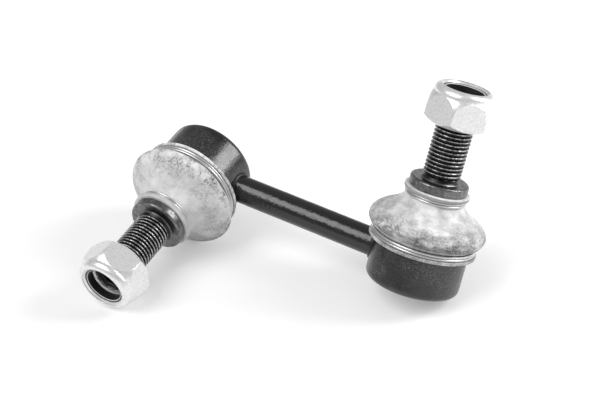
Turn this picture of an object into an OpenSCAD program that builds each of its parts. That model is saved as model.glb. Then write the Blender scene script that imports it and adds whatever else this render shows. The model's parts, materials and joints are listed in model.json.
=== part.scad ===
// Stabilizer link: a short rod with a ball joint welded to each end, in millimetres.
// The part lies on the floor (z = 0) on its left boot, its left nut and the rim of its right housing.

/* [Link] */
// distance between the axes of the two ball joints
link_length = 80; // [70:1:160]
// angle between the two studs, seen along the rod
stud_twist = 121; // [110:1:135]
// diameter of the rod
rod_d = 9; // [8:0.5:9.5]
// width of the weld flash around the end of the rod
weld_w = 0.95; // [0.7:0.05:1]
// height of the weld flash on the housing
weld_t = 1; // [0.6:0.1:1.6]

/* [Housing] */
// outer diameter of a ball joint housing
housing_d = 30; // [29:0.5:34]
// distance from the rod's axis to the closed end of the housing
housing_below = 8; // [8:0.25:10]
// distance from the weld flash to the shoulder under the boot
shoulder_gap = 0.05; // [0.05:0.05:0.5]
// rounding of the outer edge of the closed end
housing_edge = 2.2; // [1:0.1:2.6]
// thickness of the closing plate
cap_t = 1.6; // [1.2:0.1:1.7]

/* [Ball stud] */
// diameter of the ball
ball_d = 16; // [15.6:0.1:16]
// diameter of the neck above the ball
neck_d = 9.2; // [8.6:0.1:9.4]
// diameter of the seat under the collar that the boot grips
boot_seat_d = 12.8; // [11.6:0.2:13.4]
// diameter of the collar
collar_d = 18.6; // [17:0.2:20]
// thickness of the collar
collar_t = 2.9; // [2:0.1:4]
// distance from the rod's axis to the seat face of the collar
collar_seat = 27.2; // [26.8:0.1:30]
// outside diameter of the thread
thread_d = 12; // [11:0.5:12.4]
// pitch of the thread
thread_pitch = 1.25; // [1:0.25:1.75]
// length of the stud beyond the collar
shank_l = 25.1; // [23:0.1:30]
// distance across the flats of the hexagon socket in the end of the stud
socket_af = 6; // [5:0.5:6.5]

/* [Dust boot] */
// how far the boot stands out beyond the housing
boot_out = 3.5; // [3:0.1:4.2]
// wall thickness of the boot
boot_wall = 1.4; // [1:0.1:1.6]
// how far the lower lip stands out beyond the housing
lower_lip_out = 2.1; // [1.7:0.1:2.6]
// how far the upper lip stands out beyond the seat that it grips
upper_lip_out = 3.9; // [3.5:0.1:4.3]
// diameter of the wire in the lower ring
lower_wire_d = 0.9; // [0.7:0.05:0.95]
// diameter of the wire in the upper ring
upper_wire_d = 0.8; // [0.6:0.05:0.85]

/* [Lock nut] */
// distance across the flats of the nut
nut_af = 19; // [18:0.5:20]
// height of the nut with its collar
nut_h = 11.7; // [11.7:0.1:13]
// height of the hexagon of the nut
nut_hex_h = 9.5; // [9:0.1:9.5]
// gap between the seat face of the collar and the nut
nut_gap = 18.1; // [16:0.1:19]
// turn of the left nut about its stud
left_nut_turn = 9; // [4:1:14]
// turn of the right nut about its stud
right_nut_turn = 10; // [0:1:60]

/* [Hidden] */
$fn = 96;
// clearance of a running fit and of a seated piece
fit = 0.05;
seat_gap = 0.02;
// clearance between pieces that must not touch
free = 0.3;

rod_r = rod_d / 2;
housing_r = housing_d / 2;
thread_r = thread_d / 2;
collar_r = collar_d / 2;
neck_r = neck_d / 2;
boot_seat_r = boot_seat_d / 2;

// ball, its seat and the mouth of the housing
ball_r = ball_d / 2;
ball_clear = 0.4;
ball_s = ball_r - housing_below + cap_t + ball_clear;
ball_flat = 1;
seat_wall = 2.3;
seat_r = ball_r + seat_wall;
seat_hole_r = ball_r / 2;
seat_above = 4.25;
seat_top = ball_s + seat_above;
mouth_flare = 0.6;
mouth_r = ball_r - mouth_flare;
mouth_top_r = ball_r + mouth_flare;
cap_ledge = 1.1;
cap_r = seat_r + cap_ledge;
cap_rim = 0.8;
cap_top = cap_t - housing_below;

// shoulder of the housing, groove for the lower lip and flange above it
housing_above = rod_r + weld_w + shoulder_gap;
groove_depth = 1.4;
groove_h = 2.8;
flange_in = 0.6;
flange_h = 1;
groove_r = housing_r - groove_depth;
flange_r = housing_r - flange_in;
flange_s = housing_above + groove_h;
housing_top = flange_s + flange_h;

// neck of the stud, where it widens, and the root of the thread
neck_l = 9;
widen_l = 6.5;
neck_top = ball_s + neck_l;
widen_top = neck_top + widen_l;
collar_low = collar_seat - collar_t;
collar_round = 0.7;
collar_chamfer = 0.3;
relief_depth = 0.7;
relief_r = thread_r - relief_depth;
relief_l = 1.1;
relief_slope = 0.4;
root_clear = 0.2;
root_r = thread_r + root_clear;
root_l = root_r - relief_r;
tip = collar_seat + shank_l;
tip_chamfer = 0.8;
socket_l = 6;

// thread as rings at its pitch, each with a crest, two flanks and a root
thread_low = collar_seat + relief_l + relief_slope;
thread_top = tip - tip_chamfer;
thread_turns = floor((thread_top - thread_low) / thread_pitch);
thread_depth = 0.61 * thread_pitch;
thread_crest = thread_pitch / 8;
thread_root = thread_pitch / 4;
thread_flank = (thread_pitch - thread_crest - thread_root) / 2;
thread_root_r = thread_r - thread_depth;
thread_ring = [[thread_r, thread_crest], [thread_root_r, thread_crest + thread_flank],
               [thread_root_r, thread_pitch - thread_flank], [thread_r, thread_pitch]];
thread_outline = [for (k = [0 : thread_turns - 1]) for (p = thread_ring)
    [p[0], thread_low + k * thread_pitch + p[1]]];

// lips of the boot and the grooves that its wire rings lie in
boot_r = housing_r + boot_out;
lip_r = housing_r + lower_lip_out;
lip_t = 1.1;
wire_groove_depth = 1.25;
lip_low = housing_above + fit;
lip_top = lip_low + lip_t;
lower_groove_r = lip_r - wire_groove_depth;
lower_groove_top = lip_top + 2 * lower_wire_d;
upper_lip_r = boot_seat_r + upper_lip_out;
upper_lip_t = 1.3;
collar_clear = 0.1;
upper_lip_top = collar_low - collar_clear;
upper_lip_low = upper_lip_top - upper_lip_t;
upper_groove_r = upper_lip_r - wire_groove_depth;
upper_groove_low = upper_lip_low - 2 * upper_wire_d;
bore_r = boot_seat_r + fit;
bore_step = 0.4;
inner_r = flange_r + free;
inner_rise = 1;

// corner points of the two curves that make the bulge and the neck of the boot, as radius and height
boot_h = upper_groove_low - lower_groove_top;
crease_in = 0.7;
crease_up = 0.128 * boot_h;
bulge_handle = [0.7, 0.101 * boot_h];
waist_handle = [0.4, 0.302 * boot_h];
waist_in = 3.5;
waist_up = 0.457 * boot_h;
neck_handle = [-2.1, 0.084 * boot_h];
shoulder_handle = [1, -0.178 * boot_h];
shoulder_step = [0.15, -0.2];
crease = [boot_r - crease_in, lower_groove_top + crease_up];
waist = [boot_r - waist_in, crease[1] + waist_up];
shoulder = [upper_groove_r, upper_groove_low] + shoulder_step;
bulge_curve = [crease, [boot_r, crease[1]] + bulge_handle, [boot_r, crease[1]] + waist_handle, waist];
neck_curve = [waist, waist + neck_handle, shoulder + shoulder_handle, shoulder];
curve_steps = 9;

function curve_point(c, t) =
    (1 - t)^3 * c[0] + 3 * (1 - t)^2 * t * c[1] + 3 * (1 - t) * t^2 * c[2] + t^3 * c[3];
function curve_slope(c, t) =
    (1 - t)^2 * (c[1] - c[0]) + 2 * (1 - t) * t * (c[2] - c[1]) + t^2 * (c[3] - c[2]);
function inward(d) = [-d[1], d[0]] / norm(d);
function outer_curve(c) = [for (i = [0 : curve_steps]) curve_point(c, i / curve_steps)];
function inner_curve(c) = [for (i = [curve_steps : -1 : 0])
    curve_point(c, i / curve_steps) + boot_wall * inward(curve_slope(c, i / curve_steps))];

boot_outside = concat(
    [[groove_r + fit, lip_low], [lip_r, lip_low], [lip_r, lip_top],
     [lower_groove_r, lip_top], [lower_groove_r, lower_groove_top]],
    outer_curve(bulge_curve),
    [for (i = [1 : curve_steps]) curve_point(neck_curve, i / curve_steps)],
    [[upper_groove_r, upper_groove_low], [upper_groove_r, upper_lip_low],
     [upper_lip_r, upper_lip_low], [upper_lip_r, upper_lip_top], [bore_r, upper_lip_top]]);
boot_inside = concat(
    [[bore_r, upper_groove_low + bore_step]],
    inner_curve(neck_curve),
    [for (i = [curve_steps - 1 : -1 : 0])
        curve_point(bulge_curve, i / curve_steps)
        + boot_wall * inward(curve_slope(bulge_curve, i / curve_steps))],
    [[inner_r, lower_groove_top + inner_rise], [inner_r, flange_s - fit], [groove_r + fit, flange_s - fit]]);

// lock nut, measured from the face toward the collar
nut_s = collar_seat + nut_gap;
nut_corner_r = nut_af / 2 / cos(30);
nut_face_in = 0.4;
nut_face_r = nut_af / 2 - nut_face_in;
nut_chamfer_angle = 40;
nut_chamfer = (nut_corner_r - nut_face_r) * tan(nut_chamfer_angle);
nut_crown_in = 0.17;
nut_crown_r = nut_corner_r - nut_crown_in;
nut_crown_drop = 1.9;
nut_top_in = 0.25;
nut_top_r = nut_af / 2 - nut_top_in;
nut_bore_r = thread_r + fit;
nut_bore_chamfer = 0.6;
nut_dome_in = 0.15;
nut_dome_r = nut_af / 2 - nut_dome_in;
nut_dome_round = 2.1;
nut_lip_over = 0.6;
nut_mouth_in = 1.95;
nut_mouth_r = nut_dome_r - nut_mouth_in;
nut_lip_r = thread_r + nut_lip_over;
nut_lip_t = 0.9;
insert_low = 8;
insert_wall = 1.75;
insert_clear = 0.08;
insert_r = thread_r + insert_wall;
insert_bore_r = thread_r + insert_clear;

// how far a cut runs past a face, and a boss sinks into what carries it
past = 1;

// how the part lies: dip of the left stud, then roll about the rod and pitch of the rod
bulge_in = 0.05;
bulge_up = 0.186 * boot_h;
bulge_r = boot_r - bulge_in;
bulge_s = crease[1] + bulge_up;
nut_low_s = nut_s + nut_hex_h - nut_crown_drop;
rest_dip = atan((bulge_r - nut_crown_r) / (nut_low_s - bulge_s));
left_drop = bulge_s * sin(rest_dip) + bulge_r * cos(rest_dip);
rim_r = housing_r - housing_edge;
rim_s = housing_below - housing_edge;
settle_steps = 8;
function roll_at(p) = stud_twist - acos(-sin(rest_dip) / cos(p));
function right_drop(p) =
    let (c = cos(p) * cos(roll_at(p))) rim_s * c + rim_r * sqrt(1 - c * c) + housing_edge;
function settle(p, n) =
    n == 0 ? p : settle(asin((left_drop - right_drop(p)) / link_length), n - 1);
rest_pitch = settle(0, settle_steps);
rest_roll = roll_at(rest_pitch);

// box of the laid part, from the outer circles [radius, distance] of both ends
function turn_x(v, a) = [v[0], v[1] * cos(a) - v[2] * sin(a), v[1] * sin(a) + v[2] * cos(a)];
function turn_y(v, a) = [v[0] * cos(a) + v[2] * sin(a), v[1], v[2] * cos(a) - v[0] * sin(a)];
function laid(v) = turn_y(turn_x(v, -rest_roll), rest_pitch);
nut_rings = [[nut_corner_r, nut_s + nut_chamfer], [nut_crown_r, nut_low_s],
             [nut_dome_r - nut_dome_round * (1 - cos(45)), nut_s + nut_h - nut_dome_round * (1 - sin(45))]];
rim_rings = [for (a = [0 : 10 : 90]) [rim_r + housing_edge * sin(a), -rim_s - housing_edge * cos(a)]];
rings = concat(boot_outside, nut_rings, rim_rings);
ends = [[laid([-link_length / 2, 0, 0]), laid([0, -sin(stud_twist), cos(stud_twist)])],
        [laid([link_length / 2, 0, 0]), laid([0, 0, 1])]];
function reach(e, g, i, side) = e[0][i] + g[1] * e[1][i] + side * g[0] * sqrt(1 - e[1][i]^2);
function low(i) = min([for (e = ends) for (g = rings) reach(e, g, i, -1)]);
function high(i) = max([for (e = ends) for (g = rings) reach(e, g, i, 1)]);
rest_shift = [-(low(0) + high(0)) / 2, -(low(1) + high(1)) / 2, -low(2)];

// lays the part on the floor with the middle of its box over the origin
module lie_down() {
    translate(rest_shift)
        rotate([0, rest_pitch, 0])
            rotate([-rest_roll, 0, 0])
                children();
}

// frame of one end: its stud along +Z, the rod along X, the rod's axis at Z = 0
module left_end() {
    lie_down()
        translate([-link_length / 2, 0, 0])
            rotate([stud_twist, 0, 0])
                children();
}

module right_end() {
    lie_down()
        translate([link_length / 2, 0, 0])
            children();
}

// a round bar along X, centred on the origin
module bar_x(r, l) {
    rotate([0, 90, 0])
        cylinder(r = r, h = l, center = true);
}

// the space that a housing fills, which the rod and the weld flash are cut to
module housing_space(extra) {
    translate([0, 0, -housing_below - housing_d])
        cylinder(r = housing_r + extra, h = 3 * housing_d);
}

module link_rod() {
    color("#17181a")
        lie_down()
            difference() {
                bar_x(rod_r, link_length);
                translate([-link_length / 2, 0, 0])
                    rotate([stud_twist, 0, 0])
                        housing_space(0);
                translate([link_length / 2, 0, 0])
                    housing_space(0);
            }
}

// side is 1 where the rod leaves along +X and -1 where it leaves along -X
module weld_bead(side) {
    color("#0c0c0d")
        difference() {
            intersection() {
                translate([side * housing_r, 0, 0])
                    bar_x(rod_r + weld_w, housing_r);
                housing_space(weld_t);
            }
            housing_space(0);
            translate([side * housing_r, 0, 0])
                bar_x(rod_r, housing_d);
        }
}

module housing() {
    color("#26272a")
        rotate_extrude()
            difference() {
                union() {
                    translate([0, -housing_below])
                        square([rim_r, housing_edge]);
                    translate([rim_r, -rim_s])
                        circle(housing_edge);
                    translate([0, -rim_s])
                        square([housing_r, housing_above + rim_s]);
                    translate([0, housing_above - fit])
                        square([groove_r, flange_s - housing_above + 2 * fit]);
                    translate([0, flange_s])
                        square([flange_r, housing_top - flange_s]);
                }
                polygon([[0, -housing_below - past], [cap_r - cap_rim, -housing_below - past],
                         [cap_r - cap_rim, -housing_below], [cap_r, cap_top - cap_rim], [cap_r, cap_top],
                         [seat_r, cap_top], [seat_r, seat_top], [mouth_r, seat_top],
                         [mouth_top_r, housing_top], [mouth_top_r, housing_top + past], [0, housing_top + past]]);
            }
}

module end_cap() {
    color("#2b2c2f")
        rotate_extrude()
            polygon([[0, -housing_below], [cap_r - cap_rim - seat_gap, -housing_below],
                     [cap_r - seat_gap, cap_top - cap_rim], [cap_r - seat_gap, cap_top - seat_gap],
                     [0, cap_top - seat_gap]]);
}

module ball_seat() {
    color("#d8d6cc")
        rotate_extrude()
            difference() {
                translate([seat_hole_r, cap_top + seat_gap])
                    square([seat_r - seat_gap - seat_hole_r, seat_top - cap_top - 2 * seat_gap]);
                translate([0, ball_s])
                    circle(ball_r + fit);
            }
}

module ball_stud() {
    color("#35363a")
        difference() {
            union() {
                difference() {
                    translate([0, 0, ball_s])
                        sphere(ball_r);
                    translate([-ball_r, -ball_r, ball_s - ball_r - ball_flat])
                        cube([ball_d, ball_d, 2 * ball_flat]);
                }
                rotate_extrude()
                    polygon(concat(
                        [[0, ball_s], [neck_r, ball_s], [neck_r, neck_top], [boot_seat_r, widen_top],
                         [boot_seat_r, collar_low], [collar_r - collar_chamfer, collar_low],
                         [collar_r, collar_low + collar_chamfer], [collar_r, collar_seat - collar_round],
                         [collar_r - collar_round, collar_seat], [root_r, collar_seat],
                         [relief_r, collar_seat + root_l], [relief_r, collar_seat + relief_l],
                         [thread_r, thread_low]],
                        thread_outline,
                        [[thread_r, thread_top], [thread_r - tip_chamfer, tip], [0, tip]]));
                rotate_extrude()
                    intersection() {
                        translate([collar_r - collar_round, collar_seat - collar_round])
                            circle(collar_round);
                        translate([collar_r - collar_round, collar_low])
                            square([collar_round, collar_t]);
                    }
            }
            translate([0, 0, tip - socket_l])
                cylinder(r = socket_af / 2 / cos(30), h = socket_l + past, $fn = 6);
        }
}

module dust_boot() {
    color("#b9b9b6")
        rotate_extrude()
            polygon(concat(boot_outside, boot_inside));
}

// two turns of wire lying on each other
module wire_ring(r, s, wire_d) {
    rotate_extrude()
        for (k = [-0.5, 0.5])
            translate([r + wire_d / 2, s + k * (wire_d - seat_gap)])
                circle(d = wire_d);
}

module lower_boot_ring() {
    color("#c9cacc")
        wire_ring(lower_groove_r + seat_gap, lip_top + lower_wire_d, lower_wire_d);
}

module upper_boot_ring() {
    color("#c9cacc")
        wire_ring(upper_groove_r + seat_gap, upper_lip_low - upper_wire_d, upper_wire_d);
}

// the hexagon, with a chamfer at the face and a longer one up to the dome
module nut_hexagon() {
    intersection() {
        rotate([0, 0, 30])
            cylinder(r = nut_corner_r, h = nut_hex_h, $fn = 6);
        rotate_extrude()
            polygon([[0, 0], [nut_face_r, 0], [nut_corner_r, nut_chamfer],
                     [nut_crown_r, nut_hex_h - nut_crown_drop], [nut_top_r, nut_hex_h], [0, nut_hex_h]]);
    }
}

// the domed collar that holds the nylon ring
module nut_dome() {
    rotate_extrude() {
        translate([0, nut_hex_h - past])
            square([nut_dome_r - nut_dome_round, nut_h - nut_hex_h + past]);
        translate([0, nut_hex_h - past])
            square([nut_dome_r, nut_h - nut_hex_h + past - nut_dome_round]);
        translate([nut_dome_r - nut_dome_round, nut_h - nut_dome_round])
            circle(nut_dome_round);
    }
}

module nut_bore() {
    rotate_extrude()
        polygon([[0, -past], [nut_bore_r + nut_bore_chamfer, -past], [nut_bore_r + nut_bore_chamfer, 0],
                 [nut_bore_r, nut_bore_chamfer], [nut_bore_r, insert_low], [insert_r, insert_low],
                 [insert_r, nut_h - nut_lip_t], [nut_lip_r, nut_h - nut_lip_t], [nut_mouth_r, nut_h],
                 [nut_mouth_r, nut_h + past], [0, nut_h + past]]);
}

module lock_nut(turn) {
    color("#d9dadb")
        translate([0, 0, nut_s])
            rotate([0, 0, turn])
                difference() {
                    union() {
                        nut_hexagon();
                        nut_dome();
                    }
                    nut_bore();
                }
}

module nut_insert() {
    color("#3c3d3f")
        translate([0, 0, nut_s])
            rotate_extrude()
                translate([insert_bore_r, insert_low + seat_gap])
                    square([insert_r - seat_gap - insert_bore_r, nut_h - nut_lip_t - insert_low - 2 * seat_gap]);
}

link_rod();
left_end() housing();  // left_housing
right_end() housing();  // right_housing
left_end() end_cap();  // left_end_cap
right_end() end_cap();  // right_end_cap
left_end() ball_seat();  // left_ball_seat
right_end() ball_seat();  // right_ball_seat
left_end() weld_bead(1);  // left_weld_bead
right_end() weld_bead(-1);  // right_weld_bead
left_end() ball_stud();  // left_ball_stud
right_end() ball_stud();  // right_ball_stud
left_end() dust_boot();  // left_dust_boot
right_end() dust_boot();  // right_dust_boot
left_end() lower_boot_ring();  // left_lower_boot_ring
right_end() lower_boot_ring();  // right_lower_boot_ring
left_end() upper_boot_ring();  // left_upper_boot_ring
right_end() upper_boot_ring();  // right_upper_boot_ring
left_end() lock_nut(left_nut_turn);  // left_lock_nut
right_end() lock_nut(right_nut_turn);  // right_lock_nut
left_end() nut_insert();  // left_nut_insert
right_end() nut_insert();  // right_nut_insert
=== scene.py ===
import json
import math

import bpy
import numpy as np
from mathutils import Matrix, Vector


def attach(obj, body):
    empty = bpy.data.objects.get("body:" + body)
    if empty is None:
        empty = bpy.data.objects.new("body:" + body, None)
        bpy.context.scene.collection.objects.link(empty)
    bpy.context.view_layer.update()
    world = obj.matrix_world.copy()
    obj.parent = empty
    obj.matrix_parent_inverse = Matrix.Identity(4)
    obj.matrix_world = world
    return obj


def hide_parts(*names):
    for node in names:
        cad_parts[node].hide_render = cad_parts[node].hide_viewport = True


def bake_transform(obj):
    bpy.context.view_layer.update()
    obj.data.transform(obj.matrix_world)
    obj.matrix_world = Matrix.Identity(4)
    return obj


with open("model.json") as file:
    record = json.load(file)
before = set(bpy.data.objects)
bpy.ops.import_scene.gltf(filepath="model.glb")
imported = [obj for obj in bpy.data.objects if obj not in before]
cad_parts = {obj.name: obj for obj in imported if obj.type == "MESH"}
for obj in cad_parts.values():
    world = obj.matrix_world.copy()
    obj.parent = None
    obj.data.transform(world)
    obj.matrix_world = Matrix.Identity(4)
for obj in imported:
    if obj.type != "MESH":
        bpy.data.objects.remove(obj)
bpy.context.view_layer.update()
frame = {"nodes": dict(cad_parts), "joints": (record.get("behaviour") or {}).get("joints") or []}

# Sizes are in millimetres, and the main ones are the same as in the part's source. A height is measured from
# the rod's axis along a stud, and the heights of a nut's own surfaces from its lower face.
MM = 0.001
TAU = 2 * math.pi
SIDES = ("left", "right")

# clearances of a seated piece, of a running fit and of pieces that must not touch
SEAT_GAP = 0.02
FIT = 0.05
FREE = 0.3

# rounding of small edges
EDGE = 0.3

# rod and weld flash: the middle of the bead's section lies off the rod and off the housing, and the section
# is given by half of its width and half of its thickness, which vary
LINK_LENGTH = 80.0
STUD_TWIST = math.radians(121)
ROD_R = 4.5
ROD_SINK = 0.3
WELD_OFF_ROD = 0.2
WELD_OFF_HOUSING = 0.1
WELD_WIDE, WELD_WIDE_VARIES = 0.62, 0.12
WELD_THICK, WELD_THICK_VARIES = 0.6, 0.16
WELD_SEED = {"left": 5, "right": 8}

# ball, its seat and the housing with its closing plate
BALL_R = 8.0
BALL_S = 2.0
SEAT_R = BALL_R + 2.3
SEAT_TOP = BALL_S + 4.25
MOUTH_R = BALL_R - 0.6
MOUTH_TOP_R = BALL_R + 0.6
HOUSING_R = 15.0
HOUSING_LOW = -8.0
HOUSING_EDGE = 2.2
HOUSING_SHOULDER = 5.5
GROOVE_R = 13.6
FLANGE_S = 8.3
FLANGE_R = 14.4
HOUSING_TOP = 9.3
CAP_R = 11.4
CAP_RIM = 0.8
CAP_TOP = -6.4

# stud
NECK_R = 4.6
NECK_TOP = 11.0
WIDEN_TOP = 17.5
BOOT_SEAT_R = 6.4
COLLAR_R = 9.3
COLLAR_LOW = 24.3
COLLAR_SEAT = 27.2
COLLAR_ROUND = 0.7
THREAD_R = 6.0
PITCH = 1.25
THREAD_DEPTH = 0.72
RELIEF_R = THREAD_R - 0.7
ROOT_R = THREAD_R + 0.2
ROOT_L = ROOT_R - RELIEF_R
THREAD_START = COLLAR_SEAT + 1.1
TIP = 52.3
TIP_CHAMFER = 0.8
SOCKET_AF = 6.0
SOCKET_L = 6.0

# dust boot: its lips, the grooves of its rings, and the corner points of the curves of its bulge and its neck
BOOT_R = 18.5
BOOT_WALL = 1.4
LIP_LOW, LIP_TOP, LIP_R = 5.55, 6.65, 17.1
LOW_GROOVE_R, LOW_GROOVE_TOP = 15.85, 8.45
UP_GROOVE_R, UP_GROOVE_LOW = 9.05, 21.3
UP_LIP_LOW, UP_LIP_TOP, UP_LIP_R = 22.9, 24.2, 10.3
BOOT_H = UP_GROOVE_LOW - LOW_GROOVE_TOP
CREASE = np.array([BOOT_R - 0.7, LOW_GROOVE_TOP + 0.128 * BOOT_H])
WAIST = np.array([BOOT_R - 3.5, CREASE[1] + 0.457 * BOOT_H])
SHOULDER = np.array([UP_GROOVE_R + 0.15, UP_GROOVE_LOW - 0.2])
BULGE = np.array([
    CREASE,
    [BOOT_R + 0.7, CREASE[1] + 0.101 * BOOT_H],
    [BOOT_R + 0.4, CREASE[1] + 0.302 * BOOT_H],
    WAIST,
])
NECK = np.array([
    WAIST,
    WAIST + [-2.1, 0.084 * BOOT_H],
    SHOULDER + [1.0, -0.178 * BOOT_H],
    SHOULDER,
])
CREASE_CUT = CREASE + np.array([[-0.12, -0.3], [-0.25, -0.14], [-0.25, -0.06]])

# the boot is made in two halves that part at this share of the bulge, and each has a pair of heights
SPLIT = 0.8
LOWER_BEND = (8.6, 13.6)
UPPER_BEND = (14.8, 21.2)
SWELL = 0.006
SWELL_LOW, SWELL_TOP, SWELL_FADE = 9.0, 20.5, 3
SWELL_SEED = {"left": 31, "right": 47}

# wire rings: diameter of the wire, the radius that is drawn as a share of it, the angle where a ring begins,
# and its step up to the second turn as a share of a turn
LOWER_WIRE = 0.9
UPPER_WIRE = 0.8
WIRE_SHARE = 0.46
RING_START = {"left": 4.4, "right": 2.1}
RING_STEP = 0.07

# lock nut and its nylon ring
NUT_S = 45.3
NUT_AF = 19.0
NUT_HEX_H = 9.5
NUT_H = 11.7
NUT_TURN = {"left": math.radians(9), "right": math.radians(10)}
NUT_BORE_R = THREAD_R + 0.05
NUT_BORE_CHAMFER = 0.6
NUT_FACE_R = NUT_AF / 2 - 0.4
NUT_CHAMFER = math.tan(math.radians(40))
NUT_BARREL_TOP = NUT_HEX_H - 0.3
NUT_EVEN_FALL = 0.15
NUT_DOME_R = NUT_AF / 2 - 0.15
NUT_DOME_ROUND = 2.1
NUT_MOUTH_R = NUT_AF / 2 - 1.95
NUT_LIP_R = THREAD_R + 0.85
NUT_LIP_LOW = NUT_H - 0.9
NUT_MOUTH_RISE = 0.62
NYLON_LOW = 8.0
NYLON_R = THREAD_R + 1.75
NYLON_BORE_R = THREAD_R + 0.08
NYLON_TOP = NUT_H - 0.92

JOINTS = {joint["name"]: joint for joint in frame["joints"]}


def unit(v):
    """The vector v at length 1."""
    v = np.asarray(v, float)
    return v / np.linalg.norm(v)


def end_frame(side):
    """One end of the link: its origin on the rod's axis, in metres, and its axes as rows, which are along the
    rod, across it and along the stud."""
    axis = unit(JOINTS[side + "_stud_spin"]["axis"])
    rod = unit(JOINTS[side + "_swing_across"]["axis"])
    ball = np.asarray(JOINTS[side + "_stud_spin"]["pos_m"], float)
    return ball - BALL_S * MM * axis, np.stack([rod, np.cross(axis, rod), axis])


ENDS = {side: end_frame(side) for side in SIDES}


def to_row(points, side):
    """Points in millimetres in the frame of one end, as metres in the row frame."""
    origin, rows = ENDS[side]
    return origin + MM * points @ rows


def skin(name, grid, side, looks, closed_rows=False, sharp=None):
    """A closed mesh over grid[row, column], in millimetres in the frame of one end. Columns wrap round. Rows
    wrap too if closed_rows; if not, the first and the last row are closed with a fan to their middle. The
    millimetres are kept as attribute rest_mm. Edges that turn by more than sharp degrees stay sharp."""
    rows, cols = grid.shape[:2]
    index = np.arange(rows * cols).reshape(rows, cols)
    low = index if closed_rows else index[:-1]
    high = np.roll(index, -1, 0) if closed_rows else index[1:]
    quads = np.stack([low, np.roll(low, -1, 1), np.roll(high, -1, 1), high], -1)
    faces = quads.reshape(-1, 4).tolist()
    points = grid.reshape(-1, 3)
    if not closed_rows:
        first, last = index[0], index[-1]
        middle = np.full(cols, rows * cols)
        faces += np.stack([np.roll(first, -1), first, middle], -1).tolist()
        faces += np.stack([last, np.roll(last, -1), middle + 1], -1).tolist()
        points = np.concatenate([points, grid[[0, -1]].mean(1)])
    mesh = bpy.data.meshes.new(name)
    mesh.from_pydata(to_row(points, side).tolist(), [], faces)
    rest = mesh.attributes.new("rest_mm", "FLOAT_VECTOR", "POINT")
    rest.data.foreach_set("vector", points.astype(np.float32).ravel())
    mesh.polygons.foreach_set("use_smooth", np.ones(len(mesh.polygons), bool))
    if sharp is not None:
        mesh.set_sharp_from_angle(angle=math.radians(sharp))
    mesh.materials.append(looks)
    obj = bpy.data.objects.new(name, mesh)
    bpy.context.scene.collection.objects.link(obj)
    return obj


def polar(radius, theta, height):
    """Points at a radius and an angle theta round the stud's axis, and at a height along it."""
    radius, theta, height = np.broadcast_arrays(radius, theta, height)
    return np.stack([radius * np.cos(theta), radius * np.sin(theta), height], -1)


def circle(columns):
    """Angles of columns that are spread evenly over one turn."""
    return np.arange(columns) * TAU / columns


def revolve(profile, columns):
    """Grid of the surface that profile, rows of (radius, height), sweeps in a turn round the stud's axis."""
    profile = np.asarray(profile, float)
    return polar(profile[:, :1], circle(columns), profile[:, 1:])


def arc(centre_r, centre_s, radius, start, end, count):
    """Points (radius, height) on an arc of a circle, with angles in degrees from the outward direction."""
    a = np.radians(np.linspace(start, end, count))
    return np.stack([centre_r + radius * np.cos(a), centre_s + radius * np.sin(a)], 1)


def bezier(c, t):
    """Points at parameters t of the cubic curve with corner points c."""
    c, t = np.asarray(c, float), np.asarray(t, float)[:, None]
    return (1 - t) ** 3 * c[0] + 3 * (1 - t) ** 2 * t * c[1] + 3 * (1 - t) * t**2 * c[2] + t**3 * c[3]


def bezier_in(c, t, depth):
    """Points of the same curve moved inwards by depth, square to the curve."""
    c, u = np.asarray(c, float), np.asarray(t, float)[:, None]
    slope = (1 - u) ** 2 * (c[1] - c[0]) + 2 * (1 - u) * u * (c[2] - c[1]) + u**2 * (c[3] - c[2])
    inward = np.stack([-slope[:, 1], slope[:, 0]], 1) / np.linalg.norm(slope, axis=1)[:, None]
    return bezier(c, t) + depth * inward


def dense(points, step):
    """The line through points with more points added, so that no piece of it is longer than step."""
    points = np.asarray(points, float)
    out = [points[0]]
    for p, q in zip(points[:-1], points[1:]):
        n = max(1, int(math.ceil(np.linalg.norm(q - p) / step)))
        out += [p + (q - p) * k / n for k in range(1, n + 1)]
    return np.array(out)


def ease(way):
    """way from 0 to 1, with a smooth start and end."""
    return way * way * (3 - 2 * way)


def ripple(theta, s, seed, terms, base, scale):
    """Smooth uneven value over angle theta and height s: a sum of waves whose phases and sizes are random,
    from a fixed seed. The first wave goes round base times, each further one once more, and they lean by
    scale along s."""
    rng = np.random.default_rng(seed)
    total = np.zeros(np.broadcast(theta, s).shape)
    for k in range(terms):
        wave = np.sin((base + k) * theta + scale * (k + 1) * s + rng.uniform(0, TAU))
        total += wave * rng.uniform(0.4, 1) / terms
    return total


# Helpers for materials

def grey(value):
    """An opaque colour of one grey."""
    return (value, value, value, 1)


def add(tree, kind, sockets, **options):
    """A new node of a kind. options are its settings; sockets gives its inputs by name or number, each a
    value or another node's output."""
    node = tree.nodes.new(kind)
    for name, value in options.items():
        setattr(node, name, value)
    for key, value in sockets.items():
        if isinstance(value, bpy.types.NodeSocket):
            tree.links.new(value, node.inputs[key])
        else:
            node.inputs[key].default_value = value
    return node


def group(name, inputs, outputs):
    """An empty node group with named sockets, each (name, kind), and the sockets to link to inside it."""
    tree = bpy.data.node_groups.new(name, "ShaderNodeTree")
    for side, sockets in (("INPUT", inputs), ("OUTPUT", outputs)):
        for label, kind in sockets:
            tree.interface.new_socket(label, in_out=side, socket_type="NodeSocket" + kind)
    return tree, tree.nodes.new("NodeGroupInput").outputs, tree.nodes.new("NodeGroupOutput").inputs


def mix(tree, first, second, factor):
    """The first colour, and the second where factor is 1. Each is an output or a grey."""
    first, second = (c if isinstance(c, bpy.types.NodeSocket) else grey(c) for c in (first, second))
    return add(tree, "ShaderNodeMix", {0: factor, 6: first, 7: second}, data_type="RGBA").outputs[2]


def times(tree, first, second):
    """The product of two values."""
    return add(tree, "ShaderNodeMath", {0: first, 1: second}, operation="MULTIPLY").outputs[0]


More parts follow.
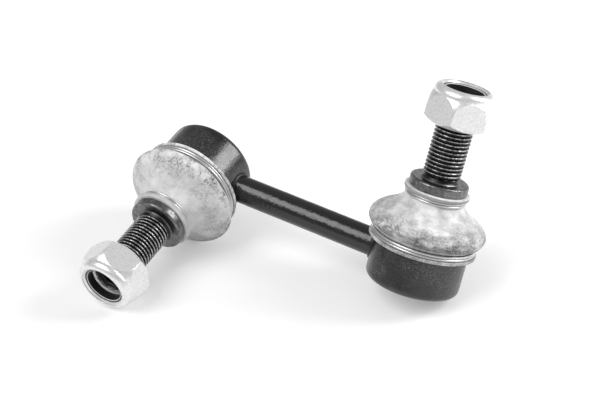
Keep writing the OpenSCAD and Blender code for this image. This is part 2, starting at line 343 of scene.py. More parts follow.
def vectors(tree, operation, first, second):
    """The outputs of an operation on two vectors."""
    return add(tree, "ShaderNodeVectorMath", {0: first, 1: second}, operation=operation).outputs


def between(tree, value, low, high, start=0.0, end=1.0):
    """value as start at low and end at high, and held outside."""
    sockets = {"Value": value, "From Min": low, "From Max": high, "To Min": start, "To Max": end}
    return add(tree, "ShaderNodeMapRange", sockets).outputs["Result"]


def spread(tree, mask, start, end):
    """A mask from 0 to 1 as a value from start to end."""
    return between(tree, mask, 0.0, 1.0, start, end)


def curve(tree, value, low, high, stops):
    """A curve over value from low to high; stops are (fraction of the way, result)."""
    node = add(tree, "ShaderNodeValToRGB", {"Fac": between(tree, value, low, high)})
    while len(node.color_ramp.elements) < len(stops):
        node.color_ramp.elements.new(0.5)
    for element, (position, result) in zip(node.color_ramp.elements, stops):
        element.position = position
        element.color = grey(result)
    return node.outputs["Color"]


def make_specks():
    """Shared mottling: cloudy noise over Place in millimetres, cut to a mask that rises from Start to End."""
    values = [(name, "Float") for name in ("Scale", "Detail", "Grain", "Start", "End")]
    tree, given, result = group("specks", [("Place", "Vector")] + values, [("Mask", "Float")])
    sockets = {"Vector": given["Place"], "Scale": given["Scale"], "Detail": given["Detail"]}
    sockets["Roughness"] = given["Grain"]
    cloud = add(tree, "ShaderNodeTexNoise", sockets).outputs["Fac"]
    tree.links.new(between(tree, cloud, given["Start"], given["End"]), result["Mask"])
    return tree


def make_along():
    """Shared measure: Distance along the stud and Radius from its axis, of Place in millimetres."""
    outputs = [("Distance", "Float"), ("Radius", "Float")]
    tree, given, result = group("along_stud", [("Place", "Vector")], outputs)
    parts = add(tree, "ShaderNodeSeparateXYZ", {0: given["Place"]})
    flat = vectors(tree, "MULTIPLY", given["Place"], (1, 1, 0))["Vector"]
    length = add(tree, "ShaderNodeVectorMath", {0: flat}, operation="LENGTH")
    tree.links.new(parts.outputs["Z"], result["Distance"])
    tree.links.new(length.outputs["Value"], result["Radius"])
    return tree


SPECKS = make_specks()
ALONG = make_along()


def mottle(tree, place, scale, start, end, detail=5.0, grain=0.7):
    """The mask of the shared mottling, with its own values."""
    sockets = {"Place": place, "Scale": scale, "Detail": detail, "Grain": grain, "Start": start, "End": end}
    return add(tree, "ShaderNodeGroup", sockets, node_tree=SPECKS).outputs["Mask"]


def along(tree, place):
    """Distance along the stud and distance from its axis, in millimetres."""
    outputs = add(tree, "ShaderNodeGroup", {"Place": place}, node_tree=ALONG).outputs
    return outputs["Distance"], outputs["Radius"]


def make_powder():
    """Shared finish of both boots: black rubber under pale powder, cloudy from Dark to Light. Soil darkens it
    in streaks and Wear rubs it off in specks, both most on the bulge. Painted shade darkens it at the crease
    and in the grooves of the rings, and Soil darkens the upper lip."""
    inputs = [("Place", "Vector"), ("Shift", "Vector"), ("Dark", "Color"), ("Light", "Color"),
              ("Wear", "Float"), ("Soil", "Float")]
    tree, given, result = group("powdered_rubber", inputs, [("Color", "Color"), ("Height", "Float")])
    place = vectors(tree, "ADD", given["Place"], given["Shift"])["Vector"]
    height = along(tree, given["Place"])[0]

    clouds = mottle(tree, place, scale=0.16, start=0.36, end=0.6, detail=6, grain=0.66)
    colour = mix(tree, given["Dark"], given["Light"], clouds)
    bulge_stops = [(0.0, 0.6), (0.07, 1.0), (0.3, 0.95), (0.55, 0.45), (1.0, 0.1)]
    bulge = curve(tree, height, 9.5, 19.5, bulge_stops)

    streaked = vectors(tree, "MULTIPLY", place, (0.4, 0.4, 1.5))["Vector"]
    streaks = mottle(tree, streaked, scale=0.5, start=0.36, end=0.62, detail=6, grain=0.68)
    soil_grey = 0.13
    colour = mix(tree, colour, soil_grey, times(tree, times(tree, bulge, given["Soil"]), streaks))

    worn = times(tree, bulge, given["Wear"])
    patches = mottle(tree, place, scale=0.21, start=0.45, end=0.57, detail=5, grain=0.66)
    patch = times(tree, worn, patches)
    thin_grey, thin_share = 0.3, 0.35
    colour = mix(tree, colour, thin_grey, times(tree, patch, thin_share))
    rubbed = mottle(tree, place, scale=1.5, start=0.49, end=0.54, detail=8, grain=0.8)
    bare_grey = 0.07
    colour = mix(tree, colour, bare_grey, times(tree, patch, rubbed))
    dots = mottle(tree, place, scale=1.9, start=0.58, end=0.66, detail=5, grain=0.75)
    dot_grey, dot_share = 0.2, 0.75
    colour = mix(tree, colour, dot_grey, times(tree, worn, times(tree, dots, dot_share)))
    grains = mottle(tree, place, scale=3.0, start=0.52, end=0.36, detail=4, grain=0.7)
    grain_grey, grain_share = 0.4, 0.25
    colour = mix(tree, colour, grain_grey, times(tree, grains, grain_share))

    lip = curve(tree, height, 22.0, 24.2, [(0.38, 0.0), (0.42, 1.0), (0.84, 1.0), (0.93, 0.0)])
    lip_grey = 0.25
    colour = mix(tree, colour, lip_grey, times(tree, lip, spread(tree, given["Soil"], 0.45, 0.85)))
    # painted shade: dark bands in the lower ring's groove, along the crease and in the upper ring's groove,
    # where shade falls under the wires and in the fold
    lower_groove_shade_stops = [(0.05, 0.0), (0.08, 0.9), (0.48, 0.9), (0.52, 0.0)]
    crease_shade_stops = [(0.89, 0.0), (0.9, 0.35), (0.92, 0.35), (0.93, 0.0)]
    lower_groove_shade_grey, upper_groove_shade_grey = 0.03, 0.05
    colour = mix(tree, colour, lower_groove_shade_grey, curve(tree, height, 6.4, 10.4, lower_groove_shade_stops + crease_shade_stops))
    upper_groove_shade_stops = [(0.1, 0.0), (0.2, 0.9), (0.78, 0.9), (0.84, 0.0)]
    colour = mix(tree, colour, upper_groove_shade_grey, curve(tree, height, 20.9, 23.3, upper_groove_shade_stops))
    tree.links.new(colour, result["Color"])
    relief = mottle(tree, place, scale=1.8, start=0.0, end=1.0, detail=5, grain=0.65)
    tree.links.new(relief, result["Height"])
    return tree


POWDER = make_powder()


def material(name, shade, rough, metallic=0.0, build=None):
    """A Principled material. build(tree, place, shader) adds what varies over the surface; place is where a
    point of the piece is in millimetres in the frame of its end."""
    made = bpy.data.materials.new(name)
    made.use_nodes = True
    tree = made.node_tree
    shader = tree.nodes["Principled BSDF"]
    shader.inputs["Base Color"].default_value = grey(shade)
    shader.inputs["Roughness"].default_value = rough
    shader.inputs["Metallic"].default_value = metallic
    if build:
        place = add(tree, "ShaderNodeAttribute", {}, attribute_name="rest_mm")
        build(tree, place.outputs["Vector"], shader)
    return made


def bump(tree, height, shader, strength, distance):
    """Fine relief from height on the shader's normal."""
    node = add(tree, "ShaderNodeBump", {"Height": height, "Strength": strength, "Distance": distance})
    tree.links.new(node.outputs["Normal"], shader.inputs["Normal"])


# What varies over each material

PAINT_GLOSS = 0.65


def rod_paint(tree, place, shader):
    """Gloss black paint with orange peel and a few pale dust specks."""
    black, dust_and_lit_grey = 0.004, 0.05
    specks = mottle(tree, place, scale=1.6, start=0.68, end=0.76, detail=4)
    tree.links.new(mix(tree, black, dust_and_lit_grey, specks), shader.inputs["Base Color"])
    clouds = mottle(tree, place, scale=0.5, start=0.35, end=0.7, detail=4, grain=0.6)
    tree.links.new(spread(tree, clouds, 0.14, 0.3), shader.inputs["Roughness"])
    shader.inputs["Specular IOR Level"].default_value = PAINT_GLOSS
    peel = mottle(tree, place, scale=1.1, start=0.0, end=1.0, detail=2, grain=0.5)
    bump(tree, peel, shader, strength=0.3, distance=0.0003)


def housing_paint(tree, place, shader):
    """Satin black paint with cloudy gloss and patches of pale specks."""
    black, faded, speck_grey = 0.002, 0.013, 0.15
    clouds = mottle(tree, place, scale=0.3, start=0.4, end=0.66, detail=7, grain=0.78)
    specks = mottle(tree, place, scale=2.2, start=0.5, end=0.66, detail=6, grain=0.8)
    patches = mottle(tree, place, scale=0.1, start=0.38, end=0.52, detail=3, grain=0.5)
    colour = mix(tree, mix(tree, black, faded, clouds), speck_grey, times(tree, specks, patches))
    tree.links.new(colour, shader.inputs["Base Color"])
    gloss = mottle(tree, place, scale=0.28, start=0.3, end=0.7, detail=5, grain=0.65)
    tree.links.new(spread(tree, gloss, 0.16, 0.3), shader.inputs["Roughness"])
    shader.inputs["Specular IOR Level"].default_value = PAINT_GLOSS
    relief = mottle(tree, place, scale=1.4, start=0.0, end=1.0, detail=3, grain=0.6)
    bump(tree, relief, shader, strength=0.3, distance=0.0002)


def boot_powder(shift, dark, light, wear, soil):
    """The powdered rubber of one boot: shift moves its pattern, dark and light are the powder's greys."""
    values = {"Shift": shift, "Dark": grey(dark), "Light": grey(light), "Wear": wear, "Soil": soil}

    def build(tree, place, shader):
        powder = add(tree, "ShaderNodeGroup", {"Place": place, **values}, node_tree=POWDER).outputs
        tree.links.new(powder["Color"], shader.inputs["Base Color"])
        bump(tree, powder["Height"], shader, strength=0.3, distance=0.0002)
    return build


def stud_steel(tree, place, shader):
    """Dark phosphated steel, cloudy. Past the collar's seat it is painted dark as shade in the thread's root
    and valleys, and the thread crests are painted bright, partly as rubbed wear and partly as painted glints.
    """
    height, radius = along(tree, place)
    dark, pale, thread_shade_grey = 0.085, 0.29, 0.03
    cloud = mottle(tree, place, scale=0.9, start=0.3, end=0.75, detail=5, grain=0.65)
    # painted shade: past the collar's seat the root cone and the thread's valleys are painted dark
    shade_past_seat = between(tree, height, COLLAR_SEAT + 0.05, COLLAR_SEAT + 0.4)
    colour = mix(tree, mix(tree, dark, pale, cloud), thread_shade_grey, shade_past_seat)
    # thread crests painted bright: partly rubbed wear, partly painted glints
    crest_wear_and_glint = between(tree, radius, THREAD_R - 0.4, THREAD_R - 0.03)
    on_thread = between(tree, height, THREAD_START, THREAD_START + 0.3)
    dull, bright = 0.12, 0.8
    rubbed = mix(tree, dull, bright, mottle(tree, place, scale=1.5, start=0.4, end=0.62))
    tree.links.new(mix(tree, colour, rubbed, times(tree, crest_wear_and_glint, on_thread)), shader.inputs["Base Color"])
    tree.links.new(spread(tree, cloud, 0.4, 0.26), shader.inputs["Roughness"])
    relief = mottle(tree, place, scale=3.0, start=0.0, end=1.0, detail=3, grain=0.6)
    bump(tree, relief, shader, strength=0.2, distance=0.0001)


def zinc_plate(tree, place, shader):
    """Bright zinc plate with a fine mottled bloom."""
    dull, bright = 0.7, 0.9
    cloud = mottle(tree, place, scale=1.4, start=0.34, end=0.58, detail=6, grain=0.75)
    tree.links.new(mix(tree, dull, bright, cloud), shader.inputs["Base Color"])
    tree.links.new(spread(tree, cloud, 0.38, 0.28), shader.inputs["Roughness"])
    relief = mottle(tree, place, scale=1.6, start=0.3, end=0.7, detail=6, grain=0.75)
    bump(tree, relief, shader, strength=0.2, distance=0.00008)


def nylon(tree, place, shader):
    """Dark nylon whose top is painted lighter as if lit, with a painted highlight on its rounded inner top
    edge.
    """
    height, radius = along(tree, place)
    black, dust_and_lit_grey, pale = 0.012, 0.2, 0.75
    top = NUT_S + NYLON_TOP
    # painted light: the top is lighter than the bore as if lit, and the inner top edge has a painted
    # highlight
    colour = mix(tree, black, dust_and_lit_grey, between(tree, height, top - 0.25, top - 0.05))
    inner = between(tree, radius, NYLON_BORE_R + 0.25, NYLON_BORE_R + 0.1)
    edge_highlight = times(tree, inner, between(tree, height, top - 0.2, top - 0.1))
    tree.links.new(mix(tree, colour, pale, edge_highlight), shader.inputs["Base Color"])


ROD = material("rod_paint", shade=0.004, rough=0.2, build=rod_paint)
HOUSING = material("housing_paint", shade=0.006, rough=0.32, build=housing_paint)
WELD = material("weld_black", shade=0.004, rough=0.4)
STEEL = material("phosphate_steel", shade=0.15, rough=0.3, metallic=1.0, build=stud_steel)
LEFT_POWDER = boot_powder(shift=(3.0, 7.0, 1.0), dark=0.66, light=0.88, wear=1.1, soil=0.15)
RIGHT_POWDER = boot_powder(shift=(40.0, -11.0, 5.0), dark=0.54, light=0.88, wear=1.1, soil=0.85)
RUBBER = {
    "left": material("boot_rubber_left", shade=0.7, rough=0.8, build=LEFT_POWDER),
    "right": material("boot_rubber_right", shade=0.6, rough=0.8, build=RIGHT_POWDER),
}
WIRE = material("spring_wire", shade=0.62, rough=0.28, metallic=0.9)
ZINC = material("zinc_plate", shade=0.8, rough=0.3, metallic=0.7, build=zinc_plate)
NYLON = material("nylon_ring", shade=0.1, rough=0.4, build=nylon)
ACETAL = material("ball_seat_plastic", shade=0.6, rough=0.45)
CAP_PAINT = material("cap_paint", shade=0.008, rough=0.4)


# Rod and weld flash

def saddle(angle, radius, tilt):
    """How far from a housing's axis, along the rod, the line at that angle and radius from the rod's axis
    meets the housing, whose stud is turned by tilt round the rod."""
    across = radius * np.cos(angle - tilt)
    return np.sqrt(HOUSING_R**2 - across**2)


def make_rod():
    """The rod: a round bar whose ends are cut to the two housings. Each line along it is a straight blend of
    its ends, and its points are in the frame of the right end."""
    columns, rows = 96, 60
    angle = circle(columns)
    start = -LINK_LENGTH / 2 + saddle(angle, ROD_R, STUD_TWIST) - ROD_SINK
    stop = LINK_LENGTH / 2 - saddle(angle, ROD_R, 0.0) + ROD_SINK
    along_rod = start + (stop - start) * np.linspace(0, 1, rows)[:, None]
    angle = np.broadcast_to(angle, (rows, columns))
    grid = np.stack([along_rod - LINK_LENGTH / 2, ROD_R * np.cos(angle), ROD_R * np.sin(angle)], -1)
    rod = skin("rod", grid, "right", ROD, sharp=40)
    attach(rod, "link")
    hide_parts("link_rod")


def make_weld(side):
    """Weld flash: a bead with an oval section that follows the line where the rod meets the housing. A ripple
    round the rod makes its width and thickness uneven."""
    columns, rows = 180, 18
    facing = 1 if side == "left" else -1
    angle = circle(columns)
    around = circle(rows)[:, None]
    wobble = ripple(angle[None], 0.0, WELD_SEED[side], terms=9, base=3, scale=0.0)
    thick = WELD_THICK + WELD_THICK_VARIES * wobble
    wide = WELD_WIDE + WELD_WIDE_VARIES * wobble
    radius = ROD_R + WELD_OFF_ROD + wide * np.cos(around)
    out = saddle(angle[None], radius, 0.0) + WELD_OFF_HOUSING + thick * np.sin(around)
    grid = np.stack([facing * out, radius * np.cos(angle), radius * np.sin(angle)], -1)
    if facing < 0:
        grid = grid[::-1]
    bead = skin(side + "_weld", grid, side, WELD, closed_rows=True)
    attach(bead, "link")
    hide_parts(side + "_weld_bead")


# Housing

def make_housing(side):
    """The housing: its closed outline turned round the stud's axis. From the closing plate, which it touches,
    it runs round the rolled rim and the rounded edge, up the wall, through the groove of the boot and over
    the flange, and then down the mouth and the bore of the ball seat."""
    cap_seat = CAP_R - SEAT_GAP
    wall_low, wall_top = HOUSING_LOW + HOUSING_EDGE + 0.2, HOUSING_SHOULDER - EDGE
    outline = np.concatenate([
        [[cap_seat, CAP_TOP], [cap_seat, CAP_TOP - CAP_RIM + FIT]],
        arc(CAP_R - CAP_RIM + FIT + EDGE, HOUSING_LOW + EDGE, EDGE, 190, 270, 6),
        arc(HOUSING_R - HOUSING_EDGE, HOUSING_LOW + HOUSING_EDGE, HOUSING_EDGE, -90, 0, 14),
        dense([[HOUSING_R, wall_low], [HOUSING_R, wall_top]], 1.0),
        arc(HOUSING_R - EDGE, HOUSING_SHOULDER - EDGE, EDGE, 10, 90, 5),
        [[GROOVE_R, HOUSING_SHOULDER], [GROOVE_R, FLANGE_S]],
        [[FLANGE_R, FLANGE_S], [FLANGE_R, HOUSING_TOP]],
        [[MOUTH_TOP_R, HOUSING_TOP], [MOUTH_R, SEAT_TOP]],
        [[SEAT_R, SEAT_TOP], [SEAT_R, CAP_TOP]],
    ])
    body = skin(side + "_cup", revolve(outline, 160), side, HOUSING, closed_rows=True, sharp=35)
    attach(body, "link")
    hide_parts(side + "_housing")


# Boot and its rings

def boot_halves():
    """Closed outlines (radius, height) of the lower and the upper half of the boot, which meet on the bulge.
    The outside follows the lips, the grooves and the two curves; the inside is the curves moved in by the
    wall."""
    low_t = np.linspace(0, SPLIT, 20)
    high_t = np.linspace(SPLIT, 1, 8)
    neck_t = np.linspace(0, 1, 20)
    lip_round, up_lip_round = 0.35, 0.4
    corner_out, corner_down = 0.05, 0.1
    inner_low, bore_low = LOW_GROOVE_TOP + 1, UP_GROOVE_LOW + 0.4
    grip_r, inner_r, bore_r = GROOVE_R + FIT, FLANGE_R + FREE, BOOT_SEAT_R + FIT
    lower = np.concatenate([
        [[grip_r, LIP_LOW]],
        arc(LIP_R - EDGE, LIP_LOW + EDGE, EDGE, -90, 0, 5),
        arc(LIP_R - lip_round, LIP_TOP - lip_round, lip_round, 0, 90, 5),
        [[LOW_GROOVE_R, LIP_TOP], [LOW_GROOVE_R, LOW_GROOVE_TOP - corner_down]],
        dense([[LOW_GROOVE_R + corner_out, LOW_GROOVE_TOP], CREASE_CUT[0]], 0.4),
        CREASE_CUT[1:],
        bezier(BULGE, low_t),
        bezier_in(BULGE, low_t[::-1], BOOT_WALL),
        [[inner_r, inner_low], [inner_r, FLANGE_S - FIT], [grip_r, FLANGE_S - FIT]],
    ])
    upper = np.concatenate([
        bezier(BULGE, high_t),
        bezier(NECK, neck_t[1:]),
        [[UP_GROOVE_R, UP_GROOVE_LOW], [UP_GROOVE_R, UP_LIP_LOW]],
        arc(UP_LIP_R - EDGE, UP_LIP_LOW + EDGE, EDGE, -90, 0, 5),
        arc(UP_LIP_R - up_lip_round, UP_LIP_TOP - up_lip_round, up_lip_round, 0, 90, 5),
        [[bore_r, UP_LIP_TOP], [bore_r, bore_low]],
        bezier_in(NECK, neck_t[::-1], BOOT_WALL),
        bezier_in(BULGE, high_t[::-1][1:], BOOT_WALL),
    ])
    return lower, upper


def make_boot(side):
    """Dust boot: the outlines of both halves turned round the stud's axis. A ripple swells the bulge and the
    neck slightly and fades out towards both rings."""
    longest, columns = 0.8, 160
    lower, upper = boot_halves()
    for name, outline, bodies, (start, end) in (
        ("lower", lower, ("link", side + "_boot"), LOWER_BEND),
        ("upper", upper, (side + "_boot", side + "_neck"), UPPER_BEND),
    ):
        grid = revolve(dense(np.vstack([outline, outline[:1]]), longest)[:-1], columns)
        x, y, s = np.moveaxis(grid, -1, 0)
        fade = np.clip((s - SWELL_LOW) / SWELL_FADE, 0, 1) * np.clip((SWELL_TOP - s) / SWELL_FADE, 0, 1)
        uneven = ripple(np.arctan2(y, x), s, SWELL_SEED[side], terms=6, base=1, scale=0.2)
        grow = 1 + SWELL * fade * uneven
        grid = np.stack([x * grow, y * grow, s], -1)
        half = skin(f"{side}_boot_{name}", grid, side, RUBBER[side], closed_rows=True, sharp=50)
        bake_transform(half)
        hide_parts(side + "_dust_boot")


def make_ring(side, name, body, radius, middle, wire):
    """Two flat turns of wire, one on the other: a small circle swept round the stud's axis, which climbs by
    one wire in a short step at the end of the first turn. The second turn stops where that step begins."""
    rows, columns = 360, 16
    turns = np.linspace(0, 2 - RING_STEP, rows)[:, None]
    climb = np.clip((turns - 1 + RING_STEP) / RING_STEP, 0, 1)
    height = wire * (ease(climb) - 0.5)
    around = -circle(columns)
    wire_r = WIRE_SHARE * wire
    r = radius + wire / 2 + wire_r * np.cos(around)
    s = middle + height + wire_r * np.sin(around)
    grid = polar(r, RING_START[side] + TAU * turns, s)
    piece = skin(f"{side}_{name}_wire", grid, side, WIRE, sharp=60)
    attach(piece, body)
    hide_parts(f"{side}_{name}_boot_ring")


# Ball stud

def thread_radius(s, theta):
    """Outside radius of the screw thread: a crest and a root that climb one pitch in each turn. Half of the
    crest and the flank beside it are shares of a pitch."""
    crest, flank = 0.05, 0.32
    phase = (s - PITCH * theta / TAU) / PITCH
    away = np.abs(phase - np.round(phase))
    return THREAD_R - THREAD_DEPTH * ease(np.clip((away - crest) / flank, 0, 1))


def make_stud(side):
    """The stud: ball, neck and collar as rows turned round the axis, then rows of the screw thread, which
    runs out at both ends, and rows that close its end down to the bottom of a hexagon socket."""
    columns = 144
    theta = circle(columns)
    ball_low_angle = -61
    neck_angle = math.degrees(math.acos(NECK_R / BALL_R))
    neck_low = BALL_S + math.sqrt(BALL_R**2 - NECK_R**2) + 0.2
    corner_out, corner_down = 0.1, 0.02
    rim_low, rim_top = COLLAR_LOW + 0.5, COLLAR_SEAT - 0.85
    seat_outer, seat_middle = COLLAR_R - 0.75, COLLAR_R - 1.6
    plain = np.concatenate([
        arc(0, BALL_S, BALL_R, ball_low_angle, neck_angle, 24),
        [[NECK_R, neck_low], [NECK_R, NECK_TOP], [BOOT_SEAT_R, WIDEN_TOP]],
        [[BOOT_SEAT_R, COLLAR_LOW - corner_down], [BOOT_SEAT_R + corner_out, COLLAR_LOW]],
        arc(COLLAR_R - EDGE, COLLAR_LOW + EDGE, EDGE, -90, 0, 5),
        dense([[COLLAR_R, rim_low], [COLLAR_R, rim_top]], 0.6),
        arc(COLLAR_R - COLLAR_ROUND, COLLAR_SEAT - COLLAR_ROUND, COLLAR_ROUND, 5, 85, 9),
        [[seat_outer, COLLAR_SEAT], [seat_middle, COLLAR_SEAT], [ROOT_R, COLLAR_SEAT]],
        [[RELIEF_R, COLLAR_SEAT + ROOT_L], [RELIEF_R, THREAD_START]],
    ])
    row_gap, end_gap, run_out = 0.07, 0.01, 1.1
    s = np.arange(THREAD_START + row_gap, TIP - end_gap, row_gap)[:, None]
    largest = np.minimum(RELIEF_R + (s - THREAD_START) * run_out, THREAD_R)
    largest = np.minimum(largest, THREAD_R - np.clip(s - (TIP - TIP_CHAMFER), 0, None))
    thread = polar(np.minimum(thread_radius(s, theta), largest), theta, s)
    hexagon = SOCKET_AF / 2 / np.cos((theta % (TAU / 6)) - TAU / 12)
    chamfer, cone, cone_share = 0.35, 0.6, 0.4
    socket = [
        polar(THREAD_R - TIP_CHAMFER, theta, TIP),
        polar(hexagon + chamfer, theta, TIP),
        polar(hexagon, theta, TIP - chamfer),
        polar(hexagon, theta, TIP - SOCKET_L),
        polar(hexagon * cone_share, theta, TIP - SOCKET_L - cone),
    ]
    grid = np.concatenate([revolve(plain, columns), thread, np.stack(socket)])
    stud = skin(side + "_stud", grid, side, STEEL, sharp=45)
    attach(stud, side + "_stud")
    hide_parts(side + "_ball_stud")


# Lock nut

def make_nut(side):
    """The lock nut: a hexagon whose corners are cut by a chamfer below and by a barrel that narrows to the
    dome, then the dome's rounded edge, the sloping mouth and the threaded bore. The barrel narrows from the
    corner at the top of the chamfer to the dome at the top of the hexagon: a little evenly, and the rest by
    the fourth power of the way between them. Columns lie closer together towards the corners."""
    side_columns, crowding = 40, 1.5
    half_side = np.linspace(-1, 1, side_columns + 1)[:-1]
    fold = TAU / 12 * np.sign(half_side) * (1 - (1 - np.abs(half_side)) ** crowding)
    theta = (TAU / 6 * np.arange(6)[:, None] + fold).ravel()
    hexagon = NUT_AF / 2 / np.cos(np.tile(fold, 6))
    corner = NUT_AF / 2 / math.cos(TAU / 12)
    chamfer_h = (corner - NUT_FACE_R) * NUT_CHAMFER

    def barrel(height):
        """Radius of the barrel at a height, from the top of the chamfer upwards."""
        way = (height - chamfer_h) / (NUT_BARREL_TOP - chamfer_h)
        return corner - NUT_EVEN_FALL * way - (corner - NUT_DOME_R - NUT_EVEN_FALL) * way**4

    def ring(radius, height):
        """One row round the nut at a radius and a height, each one value or one for each column."""
        return polar(radius, theta, NUT_S + height)

    # each flat runs from the chamfer up to where the barrel is as wide as the hexagon
    least_flat = 0.06
    heights = np.linspace(chamfer_h, NUT_BARREL_TOP, 200)
    flat_low = (hexagon - NUT_FACE_R) * NUT_CHAMFER
    flat_high = np.maximum(np.interp(-hexagon, -barrel(heights), heights), flat_low + least_flat)

    # rows lie this close to an edge to hold it, and the others at shares of the way over their surface
    hold = 0.01
    chamfer_shares = (0.35, 0.7, 0.985)
    flat_shares = (0.0, 0.03, 0.2, 0.4, 0.6, 0.8, 0.97, 1.0)
    barrel_shares = np.linspace(0, 1, 11)
    mouth_shares = (0.9, 0.5, 0.12)
    face_inner, mouth_round = NUT_FACE_R - 0.4, 0.2

    rows = [ring(NUT_BORE_R, NUT_BORE_CHAMFER), ring(NUT_BORE_R + NUT_BORE_CHAMFER, 0.0)]
    rows += [ring(face_inner, 0.0), ring(NUT_FACE_R, 0.0)]
    for share in chamfer_shares:
        rows.append(ring(NUT_FACE_R + (hexagon - NUT_FACE_R) * share, flat_low * share))
    for share in flat_shares:
        rows.append(ring(hexagon, flat_low + 2 * hold + (flat_high - flat_low - 3 * hold) * share))
    barrel_low = flat_high + hold
    for share in barrel_shares:
        height = barrel_low + (NUT_BARREL_TOP - barrel_low) * share
        rows.append(ring(np.minimum(hexagon, barrel(height)), height))
    rows.append(ring(NUT_DOME_R, NUT_BARREL_TOP + 2 * hold))
    dome_edge = arc(NUT_DOME_R - NUT_DOME_ROUND, NUT_H - NUT_DOME_ROUND, NUT_DOME_ROUND, 0, 84, 22)
    mouth_edge = arc(NUT_MOUTH_R + 2 * hold, NUT_H - mouth_round - 2 * hold, mouth_round, 78, 140, 8)
    rows += [ring(radius, height) for radius, height in np.concatenate([dome_edge, mouth_edge])]
    for share in mouth_shares:
        rows.append(ring(NUT_LIP_R + (NUT_MOUTH_R - NUT_LIP_R) * share, NUT_LIP_LOW + NUT_MOUTH_RISE * share))
    rows += [ring(NUT_LIP_R - 2 * hold, NUT_LIP_LOW + 6 * hold), ring(NUT_LIP_R + 4 * hold, NUT_LIP_LOW)]
    rows += [ring(NYLON_R, NUT_LIP_LOW), ring(NYLON_R, NYLON_LOW), ring(NUT_BORE_R, NYLON_LOW)]

    # the bore's thread follows the stud's with a gap, at the angle to which the nut is turned
    turn = NUT_TURN[side]
    thread_gap, thread_cut = 0.06, 0.55
    row_gap, end_gap = 0.09, 0.05
    for height in np.arange(NYLON_LOW - end_gap, NUT_BORE_CHAMFER + end_gap, -row_gap):
        thread = thread_radius(NUT_S + height, theta + turn) + thread_gap
        rows.append(ring(np.clip(thread, NUT_BORE_R - thread_cut, NUT_BORE_R), height))
    spin = np.array([[math.cos(turn), math.sin(turn), 0], [-math.sin(turn), math.cos(turn), 0], [0, 0, 1]])
    nut = skin(side + "_nut", np.stack(rows) @ spin, side, ZINC, closed_rows=True, sharp=13)
    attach(nut, side + "_nut")
    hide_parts(side + "_lock_nut")


def make_insert(side):
    """The nylon ring: a rectangle with a rounded, raised inner edge turned round the stud's axis."""
    inner, outer = NYLON_BORE_R, NYLON_R - SEAT_GAP
    low, shelf = NYLON_LOW + SEAT_GAP, NYLON_TOP - 0.4
    rise_r, crown_r, crown = inner + 0.62, inner + 0.5, NYLON_TOP - 0.06
    edge_r = 0.22
    outline = np.concatenate([
        [[inner, low], [outer, low], [outer, shelf], [rise_r, shelf], [crown_r, crown]],
        arc(inner + edge_r, NYLON_TOP - edge_r, edge_r, 80, 180, 8),
    ])
    outline += [0, NUT_S]
    insert = skin(side + "_nylon", revolve(outline, 120), side, NYLON, closed_rows=True, sharp=50)
    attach(insert, side + "_insert")
    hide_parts(side + "_nut_insert")


make_rod()
for side in SIDES:
    make_weld(side)
    make_housing(side)
    make_boot(side)
    make_ring(side, "lower", "link", LOW_GROOVE_R + SEAT_GAP, LIP_TOP + LOWER_WIRE, LOWER_WIRE)
    make_ring(side, "upper", side + "_neck", UP_GROOVE_R + SEAT_GAP, UP_LIP_LOW - UPPER_WIRE, UPPER_WIRE)
    make_stud(side)
    make_nut(side)
    make_insert(side)
    for node, looks in (("_end_cap", CAP_PAINT), ("_ball_seat", ACETAL)):
        cad = frame["nodes"][side + node]
        cad.data.materials.clear()
        cad.data.materials.append(looks)


# Floor, light and camera, in metres, with the camera's turn in degrees and its sensor and lens in millimetres

FLOOR_HALF = 3.0
FLOOR_GLOW = 0.3
SUN_STRENGTH = 1.6
SUN_ANGLE = math.radians(40)
SUN_DIRECTION = Vector((0.28, 0.52, -0.8))
LAMP_PLACE = Vector((0.6, 0.41, 0.47))
LAMP_AIM = Vector((0, 0, 0.03))
LAMP_WIDTH, LAMP_HEIGHT = 0.35, 0.5
LAMP_POWER = 4.8
WORLD_STRENGTH = 0.42
CAMERA_PLACE = (0.219399, -0.357887, 0.311454)
CAMERA_TURN = (55.6701, 1.2211, 29.7320)
CAMERA_SENSOR, CAMERA_LENS = 36.0, 98.009
CAMERA_SHIFT = (-0.01064, 0.02522)
CAMERA_NEAR = 0.01


def place_in_scene(name, data):
    """A new object of the scene with that data."""
    obj = bpy.data.objects.new(name, data)
    bpy.context.scene.collection.objects.link(obj)
    return obj


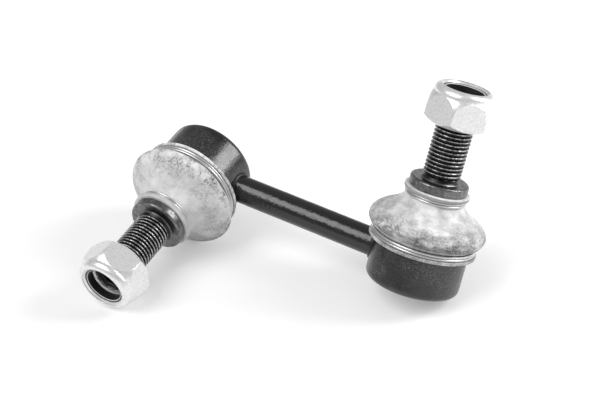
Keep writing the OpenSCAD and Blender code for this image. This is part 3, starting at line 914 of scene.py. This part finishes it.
def make_floor():
    """A pale square floor. It glows a little for camera, glossy and transmission rays alone, so that it shows
    as white and keeps its soft shadow."""
    half = FLOOR_HALF
    corners = [(-half, -half, 0), (half, -half, 0), (half, half, 0), (-half, half, 0)]
    white = material("floor_white", shade=0.74, rough=0.9)
    tree = white.node_tree
    shader = tree.nodes["Principled BSDF"]
    rays = add(tree, "ShaderNodeLightPath", {}).outputs
    seen = rays["Is Camera Ray"]
    for ray in ("Is Glossy Ray", "Is Transmission Ray"):
        seen = add(tree, "ShaderNodeMath", {0: seen, 1: rays[ray]}, operation="MAXIMUM").outputs[0]
    shader.inputs["Emission Color"].default_value = grey(1)
    tree.links.new(times(tree, seen, FLOOR_GLOW), shader.inputs["Emission Strength"])
    mesh = bpy.data.meshes.new("floor")
    mesh.from_pydata(corners, [], [(0, 1, 2, 3)])
    mesh.materials.append(white)
    floor = place_in_scene("floor", mesh)


def make_light():
    """A broad soft sun from the front left, a soft lamp from the right, and an even white world."""
    sun_data = bpy.data.lights.new("lamp_top", "SUN")
    sun_data.energy = SUN_STRENGTH
    sun_data.angle = SUN_ANGLE
    sun = place_in_scene("lamp_top", sun_data)
    sun.rotation_euler = SUN_DIRECTION.to_track_quat("-Z", "Y").to_euler()
    lamp_data = bpy.data.lights.new("lamp_right", "AREA")
    lamp_data.shape = "RECTANGLE"
    lamp_data.size = LAMP_WIDTH
    lamp_data.size_y = LAMP_HEIGHT
    lamp_data.energy = LAMP_POWER
    lamp = place_in_scene("lamp_right", lamp_data)
    lamp.location = LAMP_PLACE
    lamp.rotation_euler = (LAMP_AIM - LAMP_PLACE).to_track_quat("-Z", "Y").to_euler()
    world = bpy.data.worlds.new("studio")
    bpy.context.scene.world = world
    world.use_nodes = True
    background = world.node_tree.nodes["Background"]
    background.inputs["Color"].default_value = grey(1)
    background.inputs["Strength"].default_value = WORLD_STRENGTH


def make_camera():
    """The camera at the photograph's viewing angle, as fitted to its outline."""
    data = bpy.data.cameras.new("camera")
    data.sensor_width = CAMERA_SENSOR
    data.lens = CAMERA_LENS
    data.shift_x, data.shift_y = CAMERA_SHIFT
    data.clip_start = CAMERA_NEAR
    camera = place_in_scene("camera", data)
    camera.location = CAMERA_PLACE
    camera.rotation_euler = tuple(math.radians(a) for a in CAMERA_TURN)
    bpy.context.scene.camera = camera


make_floor()
make_light()
make_camera()
bpy.context.scene.view_settings.view_transform = "Standard"
